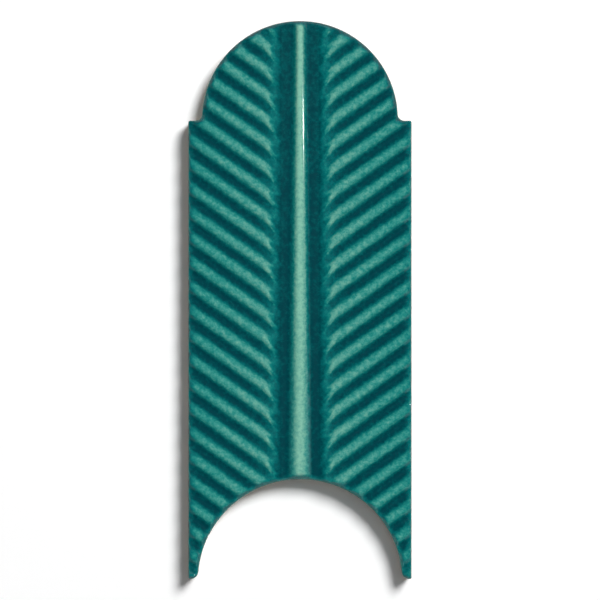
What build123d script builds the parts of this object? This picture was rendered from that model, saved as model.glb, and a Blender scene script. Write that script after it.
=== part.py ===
"""Leaf-shaped interlocking wall tile, one piece of pressed and glazed ceramic.

The tile lies on its back with its glazed face up. X is its width, Y its length with the
round head towards +Y, and Z its thickness. The origin is on the back, at the middle of
the bounding box. All sizes are in millimetres.
"""
from build123d import *
import os
from math import ceil, cos, radians, sin, sqrt, tan

# Overall size
width = 60.0
length = 150.0
thickness = 9.0

# Outline: a round head that nests in the hollow foot of the next tile in its column
joint = 1.2
shoulder_step = 3.7
shoulder_drop = 26.8
cove_radius = 1.8
tip_radius = 2.0
corner_radius = 0.5

# Levels above the back; the rib level is where the crests would meet over the midrib
rib_level = 8.7
arris_level = 5.8
flute_level_head = 7.0
flute_level_foot = 6.8

# Side ribs: round-backed, climbing outwards towards the head, in a field that falls
# gently from the midrib to the sides; the valleys run out upwards near the flute
ribs_per_module = 19
rib_height = 1.4
rib_angle = 35.0
rib_fall = 2.0
run_out_start = 10.5
run_out_slope = 9.0

# Midrib with a flute on each side of it; it widens from head to foot
midrib_crest_radius_head = 0.8
midrib_crest_radius_foot = 3.2
midrib_flank_angle_head = 54.0
midrib_flank_angle_foot = 38.0
midrib_root_radius = 1.0
flute_half_width = 5.0
flute_root_radius = 3.0
shoulder_slope = 22.0

# Rolled rim: how far it leans in by the top of the blank, and how far its arc bulges
arc_rim_width = 2.6
arc_rim_bulge = 0.3
side_rim_width = 1.2
side_rim_bulge = 0.2
back_chamfer = 0.4

# Keying grooves in the back
key_count = 6
key_pitch = 9.0
key_width = 4.5
key_depth = 0.8
key_wall_angle = 20.0
key_land = 5.0

# Cutting tools start and end this far outside the clay
clear = 1.0

# Worked-out sizes
head_radius = width / 2 - shoulder_step
head_centre_y = length / 2 - head_radius
shoulder_y = length / 2 - shoulder_drop
module = length + joint - shoulder_drop
foot_radius = head_radius + joint
foot_centre_y = head_centre_y - module
foot_y = -length / 2
tip_width = shoulder_step - joint
tip_round = min(tip_radius, tip_width - corner_radius)
stock_level = thickness + clear


def blend_points(centre_y, arc_radius, edge_y, blend_radius):
    """Ends of the small arc that joins a level edge to a large arc centred on x = 0.

    The small circle rests on the edge and touches the large one from outside, so its
    centre is one blend radius above the edge and both radii from the large centre.
    """
    y = edge_y + blend_radius
    x = sqrt((arc_radius + blend_radius) ** 2 - (y - centre_y) ** 2)
    share = arc_radius / (arc_radius + blend_radius)
    on_edge = (x, edge_y)
    on_arc = (x * share, centre_y + (y - centre_y) * share)
    return on_edge, on_arc


def mirrored(point):
    """The same point on the other side of the midrib."""
    return (-point[0], point[1])


def head_line(reach):
    """Right shoulder, cove, head arc, cove and left shoulder, run anticlockwise."""
    on_edge, on_arc = blend_points(head_centre_y, head_radius, shoulder_y, cove_radius)
    start = (width / 2 + reach, shoulder_y)
    top = (0, length / 2)
    return [
        Line(start, on_edge),
        RadiusArc(on_edge, on_arc, cove_radius),
        ThreePointArc(on_arc, top, mirrored(on_arc)),
        RadiusArc(mirrored(on_arc), mirrored(on_edge), cove_radius),
        Line(mirrored(on_edge), mirrored(start)),
    ]


def foot_line(reach):
    """Left tip, hollow foot arc and right tip, run anticlockwise."""
    on_edge, on_arc = blend_points(foot_centre_y, foot_radius, foot_y, tip_round)
    start = (-width / 2 - reach, foot_y)
    apex = (0, foot_centre_y + foot_radius)
    return [
        Line(start, mirrored(on_edge)),
        RadiusArc(mirrored(on_edge), mirrored(on_arc), -tip_round),
        ThreePointArc(mirrored(on_arc), apex, on_arc),
        RadiusArc(on_arc, on_edge, -tip_round),
        Line(on_edge, mirrored(start)),
    ]


def outline():
    """The interlocking outline of the tile, with its four outer corners just eased."""
    left_side = Line((-width / 2, shoulder_y), (-width / 2, foot_y))
    right_side = Line((width / 2, foot_y), (width / 2, shoulder_y))
    face = make_face(Wire(head_line(0) + [left_side] + foot_line(0) + [right_side]))
    left_corners = face.vertices().group_by(Axis.X)[0]
    right_corners = face.vertices().group_by(Axis.X)[-1]
    return fillet(left_corners + right_corners, corner_radius)


def blank():
    """The outline at full stock height, with its back edge eased."""
    solid = extrude(outline(), stock_level)
    back_edges = solid.edges().group_by(Axis.Z)[0]
    return chamfer(back_edges, back_chamfer)


def rib_field():
    """Where ribs may be carved: from the right flute outwards, above a slope.

    The slope rises to the flute from where the valleys' floor crosses it, so every valley
    gets shallower and narrower there and ends in a tongue.
    """
    start_level = rib_level - rib_height - run_out_start * tan(radians(rib_fall))
    rise = tan(radians(run_out_slope))
    side_x = width / 2 + clear
    flute_floor = start_level + (run_out_start - flute_half_width) * rise
    side_floor = start_level - (side_x - run_out_start) * rise
    top = 2 * thickness
    corners = [
        (flute_half_width, flute_floor),
        (side_x, side_floor),
        (side_x, top),
        (flute_half_width, top),
    ]
    return extrude(Plane.XZ * make_face(Polyline(*corners, close=True)), length, both=True)


def rib_waste():
    """What is carved away above the ribs, from the right flute out to the right side.

    The section across the ribs is a wave of equal arcs. Each arc spans half a pitch and
    rises half the rib's height, so neighbours meet in a common tangent. The straight prism
    is then turned a little about a line over the midrib, so the field falls to the side.
    """
    angle = radians(rib_angle)
    pitch = module / ribs_per_module * cos(angle)
    mid_level = rib_level - rib_height / 2
    reach = length * cos(angle) + width / 2 * sin(angle)
    rib_count = ceil(reach / pitch) + 2
    top = 1.25 * pitch
    wave = []
    for rib in range(rib_count):
        crest_start = (top - rib * pitch, mid_level)
        crest_end = (top - (rib + 0.5) * pitch, mid_level)
        valley_end = (top - (rib + 1) * pitch, mid_level)
        wave.append(SagittaArc(crest_start, crest_end, -rib_height / 2))
        wave.append(SagittaArc(crest_end, valley_end, rib_height / 2))
    bottom = top - rib_count * pitch
    lid_level = stock_level + clear + width / 2 * tan(radians(rib_fall))
    lid = Polyline((bottom, mid_level), (bottom, lid_level), (top, lid_level), (top, mid_level))
    section = make_face(Wire(wave + lid.edges()))
    along = Vector(cos(angle), sin(angle), 0)
    across = Vector(-sin(angle), cos(angle), 0)
    across_ribs = Plane(origin=(0, length / 2, 0), x_dir=across, z_dir=along)
    level_prism = extrude(across_ribs * section, length, both=True)
    prism = level_prism.rotate(Axis((0, 0, rib_level), (0, 1, 0)), rib_fall)
    return prism & rib_field()


def spine_section(level, crest_radius, flank_angle):
    """Section above the midrib and its two flutes, as a closed face across the tile."""
    flank = radians(flank_angle)
    peak = thickness + crest_radius * (1 / cos(flank) - 1)
    root_x = (peak - level) / tan(flank)
    top = stock_level + clear
    brow_x = flute_half_width + (top - level) / tan(radians(shoulder_slope))
    points = [
        (-brow_x, top),
        (-flute_half_width, level),
        (-root_x, level),
        (0, peak),
        (root_x, level),
        (flute_half_width, level),
        (brow_x, top),
    ]
    radii = [flute_root_radius, midrib_root_radius, crest_radius, midrib_root_radius, flute_root_radius]
    relief = FilletPolyline(*points, radius=radii)
    return make_face(Wire(relief.edges() + [Line(points[-1], points[0])]))


def spine_waste():
    """What is carved away around the midrib, lofted from the head to the foot."""
    head_plane = Plane.XZ.offset(-length / 2 - clear)
    foot_plane = Plane.XZ.offset(length / 2 + clear)
    head = head_plane * spine_section(flute_level_head, midrib_crest_radius_head, midrib_flank_angle_head)
    foot = foot_plane * spine_section(flute_level_foot, midrib_crest_radius_foot, midrib_flank_angle_foot)
    return loft([head, foot], ruled=True)


def rim_section(rim_width, bulge):
    """What lies outside the rolled rim, drawn as inward distance against height.

    The rim is one arc that leans in from the arris to the top of the blank.
    """
    arris = (0, arris_level)
    brow = (rim_width, stock_level)
    roll = SagittaArc(arris, brow, bulge)
    lid_level = stock_level + clear
    outside = Polyline(brow, (rim_width, lid_level), (-clear, lid_level), (-clear, arris_level), arris)
    return make_face(Wire([roll] + outside.edges()))


def at_start(path):
    """Plane across a path where it starts, with X pointing into the tile and Y up."""
    along = path % 0
    return Plane(origin=path @ 0, x_dir=Vector(0, 0, 1).cross(along), z_dir=along)


def rim_waste():
    """What is carved away outside the rim: head, foot and both straight sides."""
    head_path = Wire(head_line(clear))
    foot_path = Wire(foot_line(clear))
    side_path = Line((width / 2, foot_y - clear), (width / 2, shoulder_y + clear))
    head = sweep(at_start(head_path) * rim_section(arc_rim_width, arc_rim_bulge), path=head_path)
    foot = sweep(at_start(foot_path) * rim_section(arc_rim_width, arc_rim_bulge), path=foot_path)
    right = sweep(at_start(side_path) * rim_section(side_rim_width, side_rim_bulge), path=side_path)
    return [head, foot, right, mirror(right, Plane.YZ)]


def arc_height(radius, x):
    """Height of a circle above its centre at x, or zero outside the circle."""
    return sqrt(max(radius**2 - x**2, 0))


def key_grooves():
    """Shallow grooves along the back that end one land's width inside the outline."""
    grooves = []
    for index in range(key_count):
        x = (index - (key_count - 1) / 2) * key_pitch
        edge_x = abs(x) + key_width / 2
        head_reach = arc_height(head_radius - key_land, edge_x)
        upper = head_centre_y + head_reach if head_reach > 0 else shoulder_y - key_land
        lower = foot_centre_y + arc_height(foot_radius + key_land, edge_x)
        groove = Pos(x, (upper + lower) / 2) * Rectangle(key_width, upper - lower)
        grooves.append(extrude(groove, key_depth, taper=key_wall_angle))
    return grooves


def leaf_tile():
    """The whole tile: the blank with its relief, rim and keying grooves carved out."""
    right_waste = rib_waste()
    waste = [right_waste, mirror(right_waste, Plane.YZ), spine_waste()] + rim_waste() + key_grooves()
    tile = blank()
    for cut in waste:
        tile -= cut
    return tile


tile = leaf_tile()
tile.label = "leaf_tile"
os.makedirs("parts", exist_ok=True)
export_step(tile, "parts/leaf_tile.step")
print("volume cm3", round(tile.volume / 1000, 2), "solids", len(tile.solids()), "faces", len(tile.faces()))
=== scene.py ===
# %% [markdown]
# # A leaf wall tile in teal glaze
#
# The object is one small wall tile. A tilemaker presses it from pale clay in a steel mould,
# fires it, sprays the face with a glossy teal glaze and fires it again. The glaze melts,
# runs off whatever stands proud and gathers in whatever lies deep, so the same glaze is
# pale on the ribs and nearly black-green in the valleys.
#
# This lesson builds the finished surface as one closed mesh. The face is a height worked
# out from plain formulas, the walls are a profile carried round the outline, and the back
# is a flat field with six keying grooves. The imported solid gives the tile's size and place.

import bpy
import numpy as np
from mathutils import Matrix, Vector
from mathutils.geometry import delaunay_2d_cdt


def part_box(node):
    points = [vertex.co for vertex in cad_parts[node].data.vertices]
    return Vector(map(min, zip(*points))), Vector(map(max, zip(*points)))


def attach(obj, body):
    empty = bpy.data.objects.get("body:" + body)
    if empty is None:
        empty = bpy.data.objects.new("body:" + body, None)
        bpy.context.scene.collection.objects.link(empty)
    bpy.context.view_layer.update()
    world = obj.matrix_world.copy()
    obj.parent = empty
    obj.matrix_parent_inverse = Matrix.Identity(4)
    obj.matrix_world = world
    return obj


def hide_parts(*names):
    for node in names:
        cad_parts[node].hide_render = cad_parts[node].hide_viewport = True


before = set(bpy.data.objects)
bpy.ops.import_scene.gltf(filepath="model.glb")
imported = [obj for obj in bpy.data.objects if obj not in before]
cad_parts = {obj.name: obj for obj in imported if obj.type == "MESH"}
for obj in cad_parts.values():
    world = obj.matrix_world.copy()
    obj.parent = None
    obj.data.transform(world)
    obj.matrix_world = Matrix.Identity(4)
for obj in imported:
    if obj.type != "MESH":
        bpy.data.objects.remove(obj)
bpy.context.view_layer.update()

MM = 0.001
tile_low, tile_high = (np.array(corner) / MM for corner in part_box("leaf_tile"))
width, length, thickness = tile_high - tile_low
print("packed tile, mm:", width.round(2), length.round(2), thickness.round(2))

# %% [markdown]
# ## Sizes
#
# Shapes are worked out in millimetres, as a tilemaker measures, and turned into metres only
# when a mesh is made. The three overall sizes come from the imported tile. The rest repeat its
# source: the outline, the levels of the relief above the back, and the ribs. Only what melted
# glaze adds has sizes of its own: the bent rib ends, and how far each corner is filled.

# %% Sizes of the outline and the relief
# Outline
joint = 1.2
shoulder_step = 3.7
shoulder_drop = 26.8
cove_radius = 1.8
tip_radius = 2.0
corner_radius = 0.5

# Levels above the back; the rib level is where the crests would meet over the midrib
rib_level = 8.7
arris_level = 5.8
flute_level_head = 7.0
flute_level_foot = 6.8

# Ribs, and the slope on which their valleys run out
ribs_per_module = 19
rib_height = 1.4
rib_angle = np.radians(35.0)
rib_fall = np.radians(2.0)
run_out_start = 10.5
run_out_slope = np.radians(9.0)

# Bent rib ends: leans and the widths of ridge and hollow are shares of the ribs' pitch
lean_start = 9.9
lean_rate = 0.085
most_lean = 0.26
ridge_height = 0.16
ridge_half_width = 0.12
hollow_depth = 0.16
hollow_band = (0.02, 0.14)
bent_band = (5.6, 7.0)

# Midrib, which widens from head to foot, and the flutes beside it
crest_radius_head = 0.8
crest_radius_foot = 3.2
flank_angle_head = np.radians(54.0)
flank_angle_foot = np.radians(38.0)
flute_half_width = 5.0
shoulder_slope = np.radians(22.0)

# Rolled rim, as one arc from the arris up to the brow
brow_level = 10.0
arc_rim_width = 2.6
arc_rim_bulge = 0.3
side_rim_width = 1.2
side_rim_bulge = 0.2

# How far melted glaze fills or rounds the corners between two surfaces
valley_melt = 0.3
flute_melt = 0.25
shoulder_melt = 0.1
root_melt = 0.6
end_rim_melt = 0.5
side_rim_melt = 1.2

# Worked-out sizes
half_width = width / 2
head_top = length / 2
foot_y = -length / 2
head_radius = half_width - shoulder_step
head_centre_y = head_top - head_radius
shoulder_y = head_top - shoulder_drop
module = length + joint - shoulder_drop
foot_radius = head_radius + joint
foot_centre_y = head_centre_y - module
cove_y = shoulder_y + cove_radius
cove_x = np.sqrt((head_radius + cove_radius) ** 2 - (cove_y - head_centre_y) ** 2)
round_y = foot_y + tip_radius
round_x = np.sqrt((foot_radius + tip_radius) ** 2 - (round_y - foot_centre_y) ** 2)
rib_pitch = module / ribs_per_module * np.cos(rib_angle)
print("ribs repeat every", rib_pitch.round(3), "mm across, tiles every", round(module, 2), "mm")

# %% [markdown]
# ## The outline as a path
#
# The tile's outline is a row of arcs joined by straight runs: a round head, a small cove at
# each shoulder, eased corners, two thin tips and the hollow foot that the next tile's head
# fits into. One way is to draw it point by point. Here each arc is a centre, a radius and
# two angles, and a straight run needs nothing, because it joins the ends of its neighbours.
# The path is then sampled evenly, with extra points where it turns quickly.


# %% Outline of the tile
def bend(centre, radius, start, end):
    """Points and outward directions on one arc.

    A point is the centre plus the radius along its angle. An arc run anticlockwise bulges
    out of the tile, so its outward direction leaves the centre. One run clockwise is
    hollow, so its outward direction points to the centre.
    """
    fewest = 60
    per_degree = 2
    count = fewest + int(abs(end - start) * per_degree)
    angle = np.radians(np.linspace(start, end, count))
    out = np.stack([np.cos(angle), np.sin(angle)], axis=1)
    return np.array(centre) + radius * out, out * np.sign(end - start)


def tile_path(spacing):
    """The outline, anticlockwise from the right side, as points and outward directions.

    The arcs are laid end to end. Distance along them, plus a share of the angle turned, is
    divided evenly, and both the points and the directions are read at those places.
    """
    lean = np.degrees(np.arctan2(cove_y - head_centre_y, cove_x))
    dip = np.degrees(np.arctan2(round_y - foot_centre_y, round_x))
    corner_x = half_width - corner_radius
    top_y = shoulder_y - corner_radius
    low_y = foot_y + corner_radius
    arcs = [
        bend((corner_x, top_y), corner_radius, 0, 90),
        bend((cove_x, cove_y), cove_radius, 270, 180 + lean),
        bend((0, head_centre_y), head_radius, lean, 180 - lean),
        bend((-cove_x, cove_y), cove_radius, -lean, -90),
        bend((-corner_x, top_y), corner_radius, 90, 180),
        bend((-corner_x, low_y), corner_radius, 180, 270),
        bend((-round_x, round_y), tip_radius, 270, 360 - dip),
        bend((0, foot_centre_y), foot_radius, 180 - dip, dip),
        bend((round_x, round_y), tip_radius, 180 + dip, 270),
        bend((corner_x, low_y), corner_radius, 270, 360),
    ]
    points = np.concatenate([arc[0] for arc in arcs] + [arcs[0][0][:1]])
    out = np.concatenate([arc[1] for arc in arcs] + [arcs[0][1][:1]])
    step = np.hypot(*np.diff(points, axis=0).T)
    turn = np.hypot(*np.diff(out, axis=0).T)
    extra_per_turn = 1.2
    reach = np.concatenate([[0], np.cumsum(step + extra_per_turn * turn)])
    count = int(reach[-1] / spacing)
    places = np.arange(count) * reach[-1] / count
    points = np.stack([np.interp(places, reach, points[:, axis]) for axis in (0, 1)], axis=1)
    out = np.stack([np.interp(places, reach, out[:, axis]) for axis in (0, 1)], axis=1)
    return points, out / np.linalg.norm(out, axis=1, keepdims=True)


path, outward = tile_path(spacing=0.42)
print("outline:", len(path), "points")

# %% [markdown]
# ## How far inside the edge
#
# The rim follows the outline, so its height depends only on how far inside the edge a point
# lies. The distance could be measured to every point of the path, which is slow. The
# outline is only arcs and lines, so the distance to the nearest of them has a formula.


# %% Distance inside the head, the foot and the sides
def head_inset(x, y):
    """Distance inside the head's edge.

    Above the line through the centres of head and cove it is the head's radius less the
    distance to the head's centre. Below it, it is measured from the cove, and further out
    than the cove's centre, from the level shoulder.
    """
    x = np.abs(x)
    from_head = head_radius - np.hypot(x, y - head_centre_y)
    from_cove = np.hypot(x - cove_x, y - cove_y) - cove_radius
    from_shoulder = shoulder_y - y
    below = (y - head_centre_y) * cove_x < (cove_y - head_centre_y) * x
    return np.where(below, np.where(x < cove_x, from_cove, from_shoulder), from_head)


def foot_inset(x, y):
    """Distance inside the foot's edge, from the hollow arc, the tip's round or the tip."""
    x = np.abs(x)
    from_foot = np.hypot(x, y - foot_centre_y) - foot_radius
    from_round = tip_radius - np.hypot(x - round_x, y - round_y)
    from_tip = y - foot_y
    below = (y - foot_centre_y) * round_x < (round_y - foot_centre_y) * x
    return np.where(below, np.where(x < round_x, from_round, from_tip), from_foot)


def inset(x, y):
    """Distance inside the nearest edge of the tile."""
    return np.minimum(np.minimum(head_inset(x, y), foot_inset(x, y)), half_width - np.abs(x))


print("clay along the middle, mm:", round(head_top - foot_centre_y - foot_radius, 2))

# %% [markdown]
# ## Joins without sharp lines
#
# The leaf has a midrib, a flute on each side of it, and ribs that climb outwards to the
# head. Each is a simple surface of its own. Where two of them meet, clay and melted glaze
# leave no sharp line. A bevel on the finished mesh could round them, but it would need every
# meeting line as edges. Here the surfaces are heights, so they are joined by a minimum or a
# maximum whose corner is filled by a small parabola.


# %% Rounded maximum and minimum
def rounded_max(a, b, melt):
    """The higher of two surfaces, with the corner between them filled.

    Where they differ by less than melt, the square of what is missing is added, divided by
    four times melt, which makes a parabola that touches both surfaces.
    """
    missing = np.maximum(melt - np.abs(a - b), 0)
    return np.maximum(a, b) + missing**2 / (4 * melt)


def rounded_min(a, b, melt):
    """The lower of two surfaces, with the corner between them rounded off."""
    return -rounded_max(-a, -b, melt)


def smooth_step(value, low, high):
    """0 below low, 1 above high, and a smooth S between."""
    share = np.clip((value - low) / (high - low), 0, 1)
    return share * share * (3 - 2 * share)


print("two level surfaces with a melt of 0.6 mm meet", rounded_max(0.0, 0.0, 0.6), "mm higher")

# %% [markdown]
# ## The ribs
#
# The ribs are a wave of equal arcs, so crest and valley are equally round. They could be
# drawn one by one. One formula does them all: the distance from the nearest crest, folded
# into half a wave. Their valleys run out on a slope that rises to the flute, and the crests
# lean down to the foot there, as melted glaze drags them.


# %% Heights of the ribbed field
def past_crest(x, y):
    """How far a point lies headwards of the nearest crest, and how far that crest leans.

    Both are shares of the ribs' pitch. Near the flute the crests lean down to the foot.
    """
    across = np.cos(rib_angle) * (y - head_top) - np.sin(rib_angle) * np.abs(x)
    phase = (across / rib_pitch + 0.5) % 1 - 0.5
    lean = np.clip((lean_start - np.abs(x)) * lean_rate, 0, most_lean)
    return phase + lean, lean


def ribs(x, y):
    """Height of the ribbed field.

    The distance from the crest is stretched so that the valleys stay straight where the
    crests lean, and folded into half a wave. Crest and valley are arcs of one radius, so
    they meet in a common tangent. The field falls gently from the midrib to the sides.
    """
    past, lean = past_crest(x, y)
    fold = rib_pitch * np.abs(past) * 0.5 / np.where(past > 0, 0.5 + lean, 0.5 - lean)
    span = rib_pitch / 4
    rise = rib_height / 2
    radius = (span**2 + rise**2) / (2 * rise)
    off_crest = np.minimum(fold, span)
    off_valley = np.minimum(rib_pitch / 2 - fold, span)
    crest = rib_level - radius + np.sqrt(radius**2 - off_crest**2)
    valley = rib_level - rib_height + radius - np.sqrt(radius**2 - off_valley**2)
    return np.where(fold < span, crest, valley) - np.abs(x) * np.tan(rib_fall)


def run_out(x):
    """Height of the slope that lifts the valleys out as they near the flute."""
    start_level = rib_level - rib_height - run_out_start * np.tan(rib_fall)
    return start_level + (run_out_start - np.abs(x)) * np.tan(run_out_slope)


one_rib = ribs(20.0, np.linspace(0, module / ribs_per_module, 60))
print("ribs 20 mm from the midrib, mm:", one_rib.min().round(2), "to", one_rib.max().round(2))

# %% [markdown]
# ## Midrib, flutes and the whole leaf
#
# The midrib is an arc with straight flanks that widens from head to foot. A flute with a
# level floor runs on each side of it, and its sloping shoulder cuts the ribs at a slant,
# which gives every rib its pointed, fish-tail end without any drawing. Glaze leaves a fine
# ridge along the bent end of each crest, with a little hollow on its head side.


# %% Heights of the leaf relief
def midrib(x, y):
    """Height of the midrib: an arc across its crest, then straight flanks.

    The crest's radius and the flank's angle change evenly from the head to the foot.
    """
    share = (head_top - y) / length
    radius = crest_radius_head + (crest_radius_foot - crest_radius_head) * share
    flank = flank_angle_head + (flank_angle_foot - flank_angle_head) * share
    turn = radius * np.sin(flank)
    off_crest = np.minimum(np.abs(x), turn)
    off_turn = np.maximum(np.abs(x) - turn, 0)
    return thickness - radius + np.sqrt(radius**2 - off_crest**2) - off_turn * np.tan(flank)


def flute_level(y):
    """Level of the flutes' floor, which falls a little from head to foot."""
    share = (head_top - y) / length
    return flute_level_head + (flute_level_foot - flute_level_head) * share


def flute(x, y):
    """Height of the flute: a level floor and a sloping shoulder, which cuts the ribs off.

    The cut isn't quite flat: a fine ridge runs down it along the rib's leaning crest, and
    on the head side of the ridge it is a little hollow.
    """
    floor = flute_level(y)
    past = past_crest(x, y)[0]
    ridge = ridge_height * smooth_step(np.abs(past), ridge_half_width, 0)
    hollow = hollow_depth * smooth_step(past, *hollow_band)
    cut = (ridge - hollow) * smooth_step(np.abs(x), *bent_band)
    shoulder = floor + (np.abs(x) - flute_half_width) * np.tan(shoulder_slope)
    return rounded_max(floor, shoulder + cut, flute_melt)


def leaf(x, y):
    """Height of the whole relief, before the rim is rolled."""
    field = rounded_max(ribs(x, y), run_out(x), valley_melt)
    return rounded_max(rounded_min(field, flute(x, y), shoulder_melt), midrib(x, y), root_melt)


print("flutes' floor, mm:", flute_level(head_top), "at head,", flute_level(foot_y), "at foot")

# %% [markdown]
# ## The rolled rim
#
# A press mould leans its walls in, so the tile comes out, and the glaze rounds the edge
# further. From the arris the rim climbs steeply along one shallow arc until it meets the
# relief. The same arc is used round the head and foot, and a narrower one on the sides,
# where the next column of tiles stands close by. The sides' brow is filled the most, which
# makes the rib ends there soft.


# %% Height of the rim and of the finished face
def roll(distance, rim_width, bulge):
    """Height of the rim at a distance inside the edge.

    The rim is the arc through the arris and the brow that bulges by the given amount. Its
    centre lies on the line square to their chord, and the height follows from the circle.
    Further in than the centre, the height stays at the circle's top.
    """
    rise = brow_level - arris_level
    chord = np.hypot(rim_width, rise)
    radius = (chord**2 / 4 + bulge**2) / (2 * bulge)
    drop = (radius - bulge) / chord
    centre_in = rim_width / 2 + drop * rise
    centre_level = (arris_level + brow_level) / 2 - drop * rim_width
    short_of_centre = np.minimum(distance - centre_in, 0)
    return centre_level + np.sqrt(np.maximum(radius**2 - short_of_centre**2, 0))


def ripple(x, y):
    """Slow unevenness of fired glaze, from 0 to 1: eight waves in seeded directions."""
    rng = np.random.default_rng(7)
    waves = 8
    shortest = 5.0
    longest = 16.0
    total = np.zeros_like(x)
    for wave_length in rng.uniform(shortest, longest, waves):
        heading, phase = rng.uniform(0, 2 * np.pi, 2)
        along = x * np.cos(heading) + y * np.sin(heading)
        total += np.sin(2 * np.pi * along / wave_length + phase)
    return 0.5 + total / (2 * waves)


def face(x, y):
    """Height of the finished face: the relief under the three stretches of rim."""
    side = roll(half_width - np.abs(x), side_rim_width, side_rim_bulge)
    head = roll(head_inset(x, y), arc_rim_width, arc_rim_bulge)
    foot = roll(foot_inset(x, y), arc_rim_width, arc_rim_bulge)
    unevenness = 0.04
    height = leaf(x, y) - unevenness * ripple(x, y)
    for rim, melt in ((head, end_rim_melt), (foot, end_rim_melt), (side, side_rim_melt)):
        height = rounded_min(height, rim, melt)
    return height


print("rim 1 mm inside the head, mm:", roll(1.0, arc_rim_width, arc_rim_bulge).round(2))

# %% [markdown]
# ## Where the glaze gathers
#
# Molten glaze is a thick liquid: it leaves the crests and settles in the hollows. A fluid
# simulation could find where. A plain measure does as well: glaze is thin where a point
# stands high, and thinner still where it stands above the average height around it or on a
# slope. The paler slopes are partly painted light, which offsets the shade that the lamps
# cast on them. The glaze gathers at the cut rib ends, evens out along the rim, and breaks thin
# over the arris. That number is stored on every vertex, and the material turns it into colour.

# %% Depth of glaze at each point
# How far round a point counts as its surroundings, in mm; the shares of height,
# surroundings and slope, the slope's share partly thinner glaze and partly painted light
# that offsets the lamps' shade on slopes; and the depth where all three are nought
run_off_radius = 4.5
run_off_height = 0.46
run_off_surroundings = 0.266
slope_thinning_and_painted_light = 0.2
level_depth = 2.115

# What the cut rib ends hold on top, and over which depths of cut it comes in, in mm
shoulder_depth = 0.1
cut_band = (0.02, 0.35)

# Depths along the rim and on the arris, and the bands inside the edge, in mm, that they
# fade over; the right side's rim is painted paler than the left one, by twice the sway,
# as painted light from the right and painted shade on the left
head_rim_depth = 0.82
foot_rim_depth = 0.66
side_rim_depth = 0.66
side_rim_painted_light_sway = 0.1
end_rim_band = (0.3, 1.9)
side_rim_band = (-0.4, 2.4)
arris_depth = 0.35
arris_band = (0.05, 0.25)


def mean_level(x, y, radius):
    """Mean height of the relief in a disc round each point.

    The mean is taken on three rings of twelve places, each ring counted by its radius.
    """
    total = np.zeros_like(x)
    weight = 0
    for share in (1 / 3, 2 / 3, 1):
        for angle in np.arange(12) * np.pi / 6:
            reach = radius * share
            total += share * leaf(x + reach * np.cos(angle), y + reach * np.sin(angle))
            weight += share
    return total / weight


def steepness(x, y):
    """Squared sine of the slope, from 0 on level ground to 1 on a wall."""
    step = 0.05
    rise_x = (leaf(x + step, y) - leaf(x - step, y)) / (2 * step)
    rise_y = (leaf(x, y + step) - leaf(x, y - step)) / (2 * step)
    squared = rise_x**2 + rise_y**2
    return squared / (1 + squared)


def glaze_depth(x, y):
    """Depth of glaze from 0, thinnest, to 1, deepest.

    It falls with the point's own height and, away from the midrib, a little with its slope,
    which is partly thinner glaze and partly painted light that offsets the lamps' shade there.
    It rises by a smaller share of the mean height around it. The rib ends that the flute's
    shoulder cuts hold some more. Along the rim the depth evens out, in a narrow band on the
    head and foot and a wider one on the sides, and the arris has lost nearly all of it. The
    right side's rim is painted paler and the left side's darker: painted light and shade
    from the right.
    """
    surroundings = mean_level(x, y, run_off_radius)
    depth = level_depth - run_off_height * leaf(x, y) + run_off_surroundings * surroundings
    # Paler slopes: partly thinner glaze, partly painted light against the lamps' shade
    depth -= slope_thinning_and_painted_light * steepness(x, y) * smooth_step(np.abs(x), 0, flute_half_width)
    cut_off = (ribs(x, y) - flute(x, y)) * (np.abs(x) > flute_half_width)
    depth = np.clip(depth + shoulder_depth * smooth_step(cut_off, *cut_band), 0, 1)
    rims = (
        (head_inset(x, y), head_rim_depth, end_rim_band),
        (foot_inset(x, y), foot_rim_depth, end_rim_band),
        # The sway is painted light and shade: the right rim paler, the left rim darker
        (half_width - np.abs(x), side_rim_depth - side_rim_painted_light_sway * np.sign(x), side_rim_band),
    )
    for distance, rim_depth, band in rims:
        depth += (rim_depth - depth) * (1 - smooth_step(distance, *band))
    return depth + (arris_depth - depth) * (1 - smooth_step(inset(x, y), *arris_band))


crest_and_flute = glaze_depth(np.array([0.0, flute_half_width]), np.zeros(2))
print("depth of glaze on the midrib and in the flute:", crest_and_flute.round(2))

# %% [markdown]
# ## The face's points
#
# A plain square grid would cut the round edge into steps. The points here are of two kinds:
# rings that follow the outline close to the edge, where the rim is steep, and a staggered
# lattice inside, closer set along the midrib, where the crest is narrow. Blender's own
# Delaunay triangulation joins them, with the outline as a fixed border.

# %% Points of the face
# Insets, spacings and gaps, in mm; of ring points closer than closest_points one is kept
ring_insets = (0.12, 0.26, 0.42, 0.6, 0.8, 1.05, 1.35)
ring_tolerance = 0.02
closest_points = 0.1
lattice_inset = 1.55
fine_half_width = 7.0
fine_spacing = 0.3
plain_spacing = 0.4
left_gap = 0.2
right_gap = 0.35


def lattice(x_low, x_high, spacing):
    """Staggered points, every second row moved by half a step."""
    row_step = spacing * np.sqrt(3) / 2
    rows = int(length / row_step)
    columns = int((x_high - x_low) / spacing) + 1
    row, column = np.mgrid[0:rows, 0:columns]
    x = x_low + (column + 0.5 * (row % 2)) * spacing
    y = foot_y + row * row_step
    return np.stack([x.ravel(), y.ravel()], axis=1)


def closed_loop(start, count):
    """Edges that join count points, numbered from start, into a loop."""
    numbers = start + np.arange(count)
    return np.stack([numbers, np.roll(numbers, -1)], axis=1)


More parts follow.
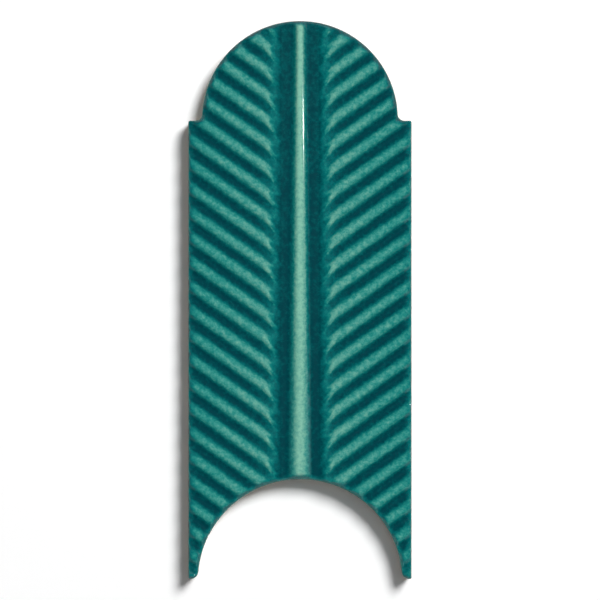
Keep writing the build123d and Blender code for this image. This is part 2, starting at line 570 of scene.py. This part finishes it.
def triangulated(plan, edges, edge_inset):
    """Points and triangles over a plan of points, with the given edges kept.

    Only the triangles whose middle lies further inside the outline than edge_inset, to
    within a hair, are kept, which drops those across the outline's hollows.
    """
    inside_only = 1
    same_point = 1e-7
    hair = 0.002
    result = delaunay_2d_cdt(plan.tolist(), edges.tolist(), [], inside_only, same_point, False)
    points = np.array([tuple(point) for point in result[0]])
    triangles = np.array(result[2])
    middle = points[triangles].mean(axis=1)
    return points, triangles[inset(middle[:, 0], middle[:, 1]) > edge_inset - hair]


rings = []
for depth in ring_insets:
    ring = path - depth * outward
    clear = inset(ring[:, 0], ring[:, 1]) > depth - ring_tolerance
    rings.append(ring[clear])
ring_points = np.concatenate(rings)
cell = np.unique(np.round(ring_points / closest_points), axis=0, return_index=True)[1]
ring_points = ring_points[np.sort(cell)]

fine = lattice(-fine_half_width, fine_half_width, fine_spacing)
left = lattice(-half_width, -fine_half_width - left_gap, plain_spacing)
right = lattice(fine_half_width + right_gap, half_width, plain_spacing)
inner = np.concatenate([fine, left, right])
inner = inner[inset(inner[:, 0], inner[:, 1]) > lattice_inset]

border = len(path)
border_edges = closed_loop(0, border)
plan = np.concatenate([path, ring_points, inner])
face_plan, face_triangles = triangulated(plan, border_edges, 0)
face_x, face_y = face_plan.T
face_points = np.stack([face_x, face_y, face(face_x, face_y)], axis=1)
face_depth = glaze_depth(face_x, face_y)
print("face:", len(face_points), "points,", len(face_triangles), "triangles")
print("face levels, mm:", face_points[:, 2].min().round(2), "to", face_points[:, 2].max().round(2))

# %% [markdown]
# ## The walls
#
# The glaze is sprayed from above, so it runs over the arris and part of the way down the
# walls, where it stops in a wavering line with a thick lip. Below that the clay is bare and
# lies a hair's breadth further in. The wall is one profile carried along the outline. Only
# the level of the glaze line changes from place to place.

# %% Walls with their glaze line
# Levels of the glaze line, its waves, and how far the thick lip reaches above it, in mm
mean_line = 2.3
lowest_line = 1.3
highest_line = 3.6
line_waves = 10
fewest_repeats = 5
most_repeats = 60
wave_height = 0.16
lip_top = 0.6

# Above the lip: how far in each row lies, and its share of the way up to the arris
above_lip = [(0.0, 0.93), (0.02, 0.8), (0.05, 0.55), (0.06, 0.3)]

# The lip: how far in, how far above the glaze line, and how much glaze covers the clay
lip = [
    (0.045, 0.55, 1),
    (0.01, 0.32, 1),
    (0.0, 0.16, 1),
    (0.02, 0.05, 0.8),
    (0.09, -0.03, 0.3),
    (0.14, -0.12, 0),
]

# Bare clay: how far in, and the level above the back
bare = [(0.15, 0.8), (0.16, 0.5), (0.2, 0.32), (0.29, 0.15), (0.38, 0.05), (0.46, 0.0)]


def glaze_line(distance, total):
    """Level where the glaze ends, along the outline.

    It is a mean level plus ten waves that each fit the outline a whole number of times, so
    the line closes on itself.
    """
    rng = np.random.default_rng(21)
    level = np.full_like(distance, mean_line)
    for repeats in rng.integers(fewest_repeats, most_repeats, line_waves):
        phase = rng.uniform(0, 2 * np.pi)
        level += wave_height * np.sin(2 * np.pi * repeats * distance / total + phase)
    return np.clip(level, lowest_line, highest_line)


path_step = np.hypot(*(np.roll(path, -1, axis=0) - path).T)
path_distance = np.cumsum(path_step) - path_step
line_level = glaze_line(path_distance, path_step.sum())

wall_rows = []
for row_inset, share in above_lip:
    way_up = arris_level - line_level - lip_top
    wall_rows.append((row_inset, line_level + lip_top + share * way_up, 1.0))
for row_inset, offset, cover in lip:
    wall_rows.append((row_inset, line_level + offset, cover))
for row_inset, level in bare:
    wall_rows.append((row_inset, np.full(border, level), 0.0))

wall_points = []
wall_cover = []
for row_inset, level, cover in wall_rows:
    ring = path - row_inset * outward
    wall_points.append(np.column_stack([ring, level]))
    wall_cover.append(np.full(border, cover))
wall_points = np.concatenate(wall_points)
wall_cover = np.concatenate(wall_cover)
print("walls:", len(wall_rows), "rows of", border, "points")
print("glaze line, mm:", line_level.min().round(2), "to", line_level.max().round(2))

# %% [markdown]
# ## The back
#
# The back is bare clay with six shallow grooves that the adhesive keys into. Their walls
# lean, so that the press can let go. Each groove is four nested rectangles, from just
# outside its mouth to its floor, which also rounds its edges a little.

# %% Back with its keying grooves
key_count = 6
key_pitch = 9.0
key_width = 4.5
key_depth = 0.8
key_land = 5.0
key_wall_angle = np.radians(20.0)
key_run = key_depth * np.tan(key_wall_angle)

# The nested rectangles: how far each is shrunk, and how deep it lies
key_steps = [
    (-0.1, 0.0),
    (0.02, 0.07),
    (key_run - 0.05, key_depth - 0.08),
    (key_run + 0.12, key_depth),
]


def rectangle(x_low, x_high, y_low, y_high, spacing=1.5):
    """Points round a rectangle, anticlockwise, at about even spacing."""
    corners = [(x_low, y_low), (x_high, y_low), (x_high, y_high), (x_low, y_high)]
    corners = np.array(corners + corners[:1])
    sides = []
    for start, end in zip(corners[:-1], corners[1:]):
        count = max(int(np.hypot(*(end - start)) / spacing), 2)
        share = np.arange(count)[:, None] / count
        sides.append(start + share * (end - start))
    return np.concatenate(sides)


def arc_height(radius, x):
    """Height of a circle above its centre at x, or zero outside the circle."""
    return np.sqrt(max(radius**2 - x**2, 0))


back_inset = bare[-1][0]
back_plan = [wall_points[-border:, :2]]
back_level = [np.zeros(border)]
back_edges = [border_edges]
taken = border
for index in range(key_count):
    x = (index - (key_count - 1) / 2) * key_pitch
    edge_x = abs(x) + key_width / 2
    reach = arc_height(head_radius - key_land, edge_x)
    upper = head_centre_y + reach if reach > 0 else shoulder_y - key_land
    lower = foot_centre_y + arc_height(foot_radius + key_land, edge_x)
    for shrink, depth in key_steps:
        x_low = x - key_width / 2 + shrink
        x_high = x + key_width / 2 - shrink
        loop = rectangle(x_low, x_high, lower + shrink, upper - shrink)
        back_plan.append(loop)
        back_level.append(np.full(len(loop), depth))
        back_edges.append(closed_loop(taken, len(loop)))
        taken += len(loop)
back_edges = np.concatenate(back_edges)
back_plan, back_triangles = triangulated(np.concatenate(back_plan), back_edges, back_inset)
back_triangles = back_triangles[:, ::-1]
back_points = np.column_stack([back_plan, np.concatenate(back_level)])
print("back:", len(back_points), "points,", len(back_triangles), "triangles")

# %% [markdown]
# ## One closed mesh
#
# The tile is one piece of clay, so it is one mesh. The face's outer ring is the top of the
# walls, and the walls' last ring is the border of the back, so nothing has to be welded.
# The two numbers that the material needs are stored on the vertices: the depth of the
# glaze, and how far glaze covers the clay.

# %% Join face, walls and back
wall_start = len(face_points)
last_ring = wall_start + len(wall_points) - border
back_start = wall_start + len(wall_points)

ring_starts = np.concatenate([[0], wall_start + border * np.arange(len(wall_rows))])
here = np.arange(border)
after = np.roll(here, -1)
upper = ring_starts[:-1, None] + here
upper_after = ring_starts[:-1, None] + after
lower = ring_starts[1:, None] + here
lower_after = ring_starts[1:, None] + after
wall_quads = np.stack([upper, lower, lower_after, upper_after], axis=-1).reshape(-1, 4)

back_numbers = np.concatenate([last_ring + here, back_start + np.arange(len(back_points) - border)])
points = np.concatenate([face_points, wall_points, back_points[border:]]) * MM
faces = face_triangles.tolist() + wall_quads.tolist() + back_numbers[back_triangles].tolist()

wall_depth = 0.62
depth = np.concatenate([face_depth, np.full(len(points) - len(face_depth), wall_depth)])
cover = np.concatenate([np.ones(len(face_points)), wall_cover, np.zeros(len(back_points) - border)])

mesh = bpy.data.meshes.new("glazed_leaf_tile")
mesh.from_pydata(points.tolist(), [], faces)
for name, values in (("glaze_depth", depth), ("glaze_cover", cover)):
    layer = mesh.attributes.new(name, "FLOAT", "POINT")
    layer.data.foreach_set("value", values.astype(np.float32))
mesh.polygons.foreach_set("use_smooth", np.ones(len(faces), bool))
mesh.validate()
mesh.update()

tile = bpy.data.objects.new("glazed_leaf_tile", mesh)
bpy.context.scene.collection.objects.link(tile)
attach(tile, "root")
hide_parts("leaf_tile")
triangles = len(face_triangles) + 2 * len(wall_quads) + len(back_triangles)
print("tile mesh:", len(points), "points,", triangles, "triangles")

# %% [markdown]
# ## Small tools for shader nodes
#
# A material is a graph of nodes. It could be clicked together in Blender, or written with
# one long line for each node and link. A few small functions keep it readable: each places
# one kind of node, links what it is given, and hands its output on.


# %% Helpers for shader nodes
def linear(red, green, blue):
    """A colour given as 0 to 255 screen values, in the linear light that shaders use."""
    screen = np.array([red, green, blue]) / 255
    light = np.where(screen <= 0.04045, screen / 12.92, ((screen + 0.055) / 1.055) ** 2.4)
    return (*light, 1.0)


def feed(tree, sockets, values):
    """Links each socket to its value when that is another node's output, or else sets it."""
    for socket, value in zip(sockets, values):
        if isinstance(value, bpy.types.NodeSocket):
            tree.links.new(value, socket)
        else:
            socket.default_value = value


def place(tree, kind, **inputs):
    """A new node with the given input values, each named by its socket in lower case.

    Where several sockets share a name, the first one that the node uses is meant.
    """
    node = tree.nodes.new("ShaderNode" + kind)
    usable = [socket for socket in node.inputs if socket.enabled]
    names = [socket.name.lower().replace(" ", "_") for socket in usable]
    feed(tree, [usable[names.index(name)] for name in inputs], inputs.values())
    return node


def noise(tree, where, size_mm, detail=2.0, roughness=0.5):
    """Noise from 0 to 1 whose features are about size_mm across."""
    scale = 1 / (size_mm * MM)
    node = place(tree, "TexNoise", vector=where, scale=scale, detail=detail, roughness=roughness)
    return node.outputs[0]


def arithmetic(tree, operation, *values):
    """One arithmetic node on one, two or three values."""
    node = tree.nodes.new("ShaderNodeMath")
    node.operation = operation
    feed(tree, node.inputs, values)
    return node.outputs[0]


def between(tree, value, low, high):
    """A smooth step from 0 at low to 1 at high, which may be the lower of the two."""
    node = place(tree, "MapRange", value=value, from_min=low, from_max=high)
    node.interpolation_type = "SMOOTHSTEP"
    return node.outputs[0]


def ramp(tree, value, stops):
    """A colour ramp from (position, colour) pairs."""
    node = tree.nodes.new("ShaderNodeValToRGB")
    tree.links.new(value, node.inputs[0])
    node.color_ramp.elements.remove(node.color_ramp.elements[0])
    for number, (position, colour) in enumerate(stops):
        if number == 0:
            element = node.color_ramp.elements[0]
            element.position = position
        else:
            element = node.color_ramp.elements.new(position)
        element.color = colour
    return node.outputs[0]


def attribute(tree, name):
    """The value stored on the mesh under this name."""
    node = tree.nodes.new("ShaderNodeAttribute")
    node.attribute_name = name
    return node.outputs["Fac"]


def mixed(tree, kind, share, first, second):
    """A mix of two colours or two numbers, by share."""
    node = tree.nodes.new("ShaderNodeMix")
    node.data_type = kind
    start = {"FLOAT": 2, "RGBA": 6}[kind]
    sockets = (node.inputs[0], node.inputs[start], node.inputs[start + 1])
    feed(tree, sockets, (share, first, second))
    return next(s for s in node.outputs if s.enabled)


def shader_by_camera(tree, seen, otherwise, to_the_camera):
    """A mix that shows one shader to the camera and the other to every other ray."""
    node = tree.nodes.new("ShaderNodeMixShader")
    feed(tree, node.inputs, (seen.outputs["Is Camera Ray"], otherwise, to_the_camera))
    return node.outputs[0]


print("middle teal in linear light:", np.round(linear(15, 122, 119), 3))

# %% [markdown]
# ## Glaze and clay in one material
#
# A glaze is coloured glass over pale clay. Where it is thin the clay shines through and the
# colour is a milky green, and where it is thick it is a deep petrol blue-green. Layers of
# tinted glass could be traced, slowly. A colour ramp read by the stored depth gives the
# same, and noise breaks it up as real glaze does: a slow drift and a fine mottle. Under the
# glaze line the same material turns to bare clay: matt, buff and slightly grainy.

# %% Teal glaze over buff clay
# Sizes and heights of the unevenness in mm, and how much glaze depth each share moves
cloud_size = 7.0
cloud_share = 0.10
mottle_size = 1.1
mottle_share = 0.8
peel_size = 1.6
peel_height = 0.012
grain_size = 0.5
grain_height = 0.08
least_roughness = 0.05
mottle_roughness = 0.08
clay_roughness = 0.85

material = bpy.data.materials.new("teal_glaze_on_clay")
material.use_nodes = True
tree = material.node_tree
tree.nodes.clear()
where = tree.nodes.new("ShaderNodeTexCoord").outputs["Object"]
depth_read = attribute(tree, "glaze_depth")
cover_read = attribute(tree, "glaze_cover")

cloud = noise(tree, where, cloud_size, detail=3)
mottle = noise(tree, where, mottle_size, detail=4, roughness=0.7)
drift = arithmetic(tree, "MULTIPLY", arithmetic(tree, "SUBTRACT", cloud, 0.5), cloud_share)
speck = arithmetic(tree, "MULTIPLY", arithmetic(tree, "SUBTRACT", mottle, 0.5), mottle_share)
uneven_depth = arithmetic(tree, "ADD", arithmetic(tree, "ADD", depth_read, drift), speck)
glaze_colour = ramp(tree, uneven_depth, [
    (0.0, linear(134, 197, 174)),
    (0.12, linear(116, 182, 162)),
    (0.24, linear(95, 167, 152)),
    (0.35, linear(63, 152, 142)),
    (0.46, linear(34, 137, 129)),
    (0.56, linear(15, 122, 119)),
    (0.67, linear(5, 106, 107)),
    (0.79, linear(2, 90, 93)),
    (0.9, linear(1, 77, 82)),
    (1.0, linear(1, 65, 73)),
])

grain = noise(tree, where, grain_size, detail=5, roughness=0.7)
clay_colour = ramp(tree, grain, [
    (0.3, linear(178, 158, 130)),
    (0.55, linear(205, 188, 160)),
    (0.8, linear(219, 204, 178)),
])
colour = mixed(tree, "RGBA", cover_read, clay_colour, glaze_colour)

glaze_roughness = arithmetic(tree, "MULTIPLY_ADD", mottle, mottle_roughness, least_roughness)
roughness = mixed(tree, "FLOAT", cover_read, clay_roughness, glaze_roughness)

peel = arithmetic(tree, "MULTIPLY", noise(tree, where, peel_size), peel_height * MM)
clay_relief = arithmetic(tree, "MULTIPLY", grain, grain_height * MM)
height = mixed(tree, "FLOAT", cover_read, clay_relief, peel)
bump = place(tree, "Bump", height=height, strength=1.0, distance=1.0).outputs[0]

shader = place(tree, "BsdfPrincipled", base_color=colour, roughness=roughness, normal=bump, ior=1.5)
place(tree, "OutputMaterial", surface=shader.outputs[0])
mesh.materials.append(material)
print("material:", len(tree.nodes), "nodes")

# %% [markdown]
# ## Floor
#
# The tile lies on its back on a sheet of white paper. Paper is a matt white surface, and a
# plain diffuse one would do. Here the camera sees it a little lifted, as a product picture
# has it, so that only the shadow shows. Light bounces off a light grey, and the glaze
# mirrors a darker one, so that no pale line runs along the arris.

# %% Floor
floor_reach = 3.0
floor_level = -0.00005
corners = [(-1, -1), (1, -1), (1, 1), (-1, 1)]
floor_points = [(floor_reach * x, floor_reach * y, floor_level) for x, y in corners]
floor_mesh = bpy.data.meshes.new("floor")
floor_mesh.from_pydata(floor_points, [], [(0, 1, 2, 3)])
floor = bpy.data.objects.new("floor", floor_mesh)
bpy.context.scene.collection.objects.link(floor)

paper = bpy.data.materials.new("white_paper")
paper.use_nodes = True
tree = paper.node_tree
tree.nodes.clear()
seen = tree.nodes.new("ShaderNodeLightPath")
lit_grey = (0.8, 0.8, 0.8, 1)
mirrored_grey = (0.3, 0.3, 0.3, 1)
grey = mixed(tree, "RGBA", seen.outputs["Is Glossy Ray"], lit_grey, mirrored_grey)
plain = place(tree, "BsdfDiffuse", color=grey)
white = place(tree, "BsdfDiffuse", color=(1, 1, 1, 1))
lift = place(tree, "Emission", color=(1, 1, 1, 1), strength=0.03)
lifted = tree.nodes.new("ShaderNodeAddShader")
feed(tree, lifted.inputs, (white.outputs[0], lift.outputs[0]))
shown = shader_by_camera(tree, seen, plain.outputs[0], lifted.outputs[0])
place(tree, "OutputMaterial", surface=shown)
floor_mesh.materials.append(paper)
print("floor:", 2 * floor_reach, "m across")

# %% [markdown]
# ## Sky
#
# A level glossy surface mirrors what is above it, so the sky overhead is dark, as the
# ceiling of a studio is. It gets paler towards the horizon, and more so at the right, which
# lights the steep flanks. Two pale panels stand off the head and the foot of the tile. They
# could be lamps, but they show only as a soft sheen in the glaze, so glossy rays alone see
# them. The camera sees plain white.

# %% Sky
# Heights in the sky run from 0 at the horizon to 1 overhead
horizon_narrowness = 6.0
horizon_level = 0.35
horizon_at_right = 1.2
panel_bottom = (0.1, 0.25)
panel_top = (0.75, 0.6)
panel_narrowness = 2.0
panel_side = (0.0, 0.25)
panel_level = 1.2

world = bpy.data.worlds.new("studio")
bpy.context.scene.world = world
world.use_nodes = True
tree = world.node_tree
tree.nodes.clear()
direction = tree.nodes.new("ShaderNodeTexCoord").outputs["Generated"]

across, along, up = place(tree, "SeparateXYZ", vector=direction).outputs
low_sky = arithmetic(tree, "SUBTRACT", 1.0, arithmetic(tree, "MAXIMUM", up, 0.0))
to_the_right = arithmetic(tree, "MAXIMUM", across, 0.0)
level = arithmetic(tree, "MULTIPLY_ADD", to_the_right, horizon_at_right, horizon_level)
band = arithmetic(tree, "POWER", low_sky, horizon_narrowness)
horizon = arithmetic(tree, "MULTIPLY", band, level)

seen = tree.nodes.new("ShaderNodeLightPath")
off_axis = arithmetic(tree, "MULTIPLY", arithmetic(tree, "ABSOLUTE", across), panel_narrowness)
to_the_ends = arithmetic(tree, "SUBTRACT", arithmetic(tree, "ABSOLUTE", along), off_axis)
bottom = between(tree, up, *panel_bottom)
top = between(tree, up, *panel_top)
side = between(tree, to_the_ends, *panel_side)
panel = arithmetic(tree, "MULTIPLY", arithmetic(tree, "MULTIPLY", bottom, top), side)
mirrored = arithmetic(tree, "MULTIPLY", seen.outputs["Is Glossy Ray"], panel_level)
brightness = arithmetic(tree, "MULTIPLY_ADD", panel, mirrored, horizon)
lighting = place(tree, "Background", color=(1, 1, 1, 1), strength=brightness)
backdrop = place(tree, "Background", color=(1, 1, 1, 1), strength=1.0)
shown = shader_by_camera(tree, seen, lighting.outputs[0], backdrop.outputs[0])
place(tree, "OutputWorld", surface=shown)
print("sky:", len(tree.nodes), "nodes")

# %% [markdown]
# ## Lamps
#
# A soft box above lights the tile from nearly straight above, so its relief casts no hard
# shades and the colour comes from the glaze alone. A smaller lamp to the upper right lights
# the paper and throws the short shadow to the lower left. One lamp could do both, but then
# either the shadow or the ribs would be wrong, so each lights one thing, and a weak fill
# lamp lights both. A small window low at the right shows only as glints in the glaze.


# %% Lamps
def hang(name, light, place_m):
    """A lamp in the scene at a place in metres, turned to face the tile."""
    holder = bpy.data.objects.new(name, light)
    holder.location = place_m
    holder.rotation_mode = "QUATERNION"
    holder.rotation_quaternion = Vector(place_m).to_track_quat("Z", "Y")
    bpy.context.scene.collection.objects.link(holder)
    return holder


def lamp(name, towards, distance_m, spread_degrees, level, lit=None):
    """A round soft lamp that gives a level surface under it the given share of full light.

    A small disc of power P at distance d and angle a lights a white surface to P cos(a)
    divided by the square of pi times d, and a wide one to less, by the squared cosine of
    half the angle that it spreads over. The power is worked out from the level wanted. The
    glaze doesn't mirror the lamp, and it may light one object only.
    """
    aim = Vector(towards).normalized()
    light = bpy.data.lights.new(name, "AREA")
    light.shape = "DISK"
    half_spread = np.radians(spread_degrees) / 2
    light.size = 2 * distance_m * np.tan(half_spread)
    light.energy = level * (np.pi * distance_m / np.cos(half_spread)) ** 2 / aim.z
    holder = hang(name, light, aim * distance_m)
    holder.visible_glossy = False
    if lit:
        only = bpy.data.collections.new(name + "_lights")
        only.objects.link(lit)
        holder.light_linking.receiver_collection = only
    print(name + ":", round(light.size, 2), "m across,", round(light.energy, 1), "W")


def window(name, place_m, width_m, height_m, radiance):
    """A small bright window, which only shows as glints in the glaze.

    A flat lamp's power is pi times its area times its radiance.
    """
    light = bpy.data.lights.new(name, "AREA")
    light.shape = "RECTANGLE"
    light.size, light.size_y = width_m, height_m
    light.energy = np.pi * width_m * height_m * radiance
    holder = hang(name, light, place_m)
    holder.visible_diffuse = False
    holder.visible_camera = False
    print(name + ":", round(light.energy, 2), "W")


lamp("soft_box", (0.1, 0.16, 1.0), distance_m=2.5, spread_degrees=70, level=0.85, lit=tile)
lamp("fill_lamp", (0.05, 0.1, 1.0), distance_m=2.5, spread_degrees=60, level=0.13)
lamp("shadow_lamp", (0.54, 0.6, 1.0), distance_m=3.0, spread_degrees=22, level=0.87, lit=floor)
window("window", (0.5, 0.077, 0.035), width_m=0.009, height_m=0.044, radiance=350)

# %% [markdown]
# ## Camera
#
# The camera looks straight down on the middle of the tile, head upwards. A picture taken
# from high up has hardly any perspective, so a long lens is used rather than a flat
# projection. Its height follows from the share of the picture that the tile fills.

# %% Camera
tile_share = 558 / 600
camera_data = bpy.data.cameras.new("camera")
camera_data.lens = 200
camera_data.sensor_width = 36
camera = bpy.data.objects.new("camera", camera_data)
picture_height = length * MM / tile_share
above_arris = picture_height * camera_data.lens / camera_data.sensor_width
camera.location = (0, 0, above_arris + arris_level * MM)
bpy.context.scene.collection.objects.link(camera)
bpy.context.scene.camera = camera
bpy.context.scene.view_settings.view_transform = "Standard"
print("camera:", round(camera.location.z, 3), "m above the floor")
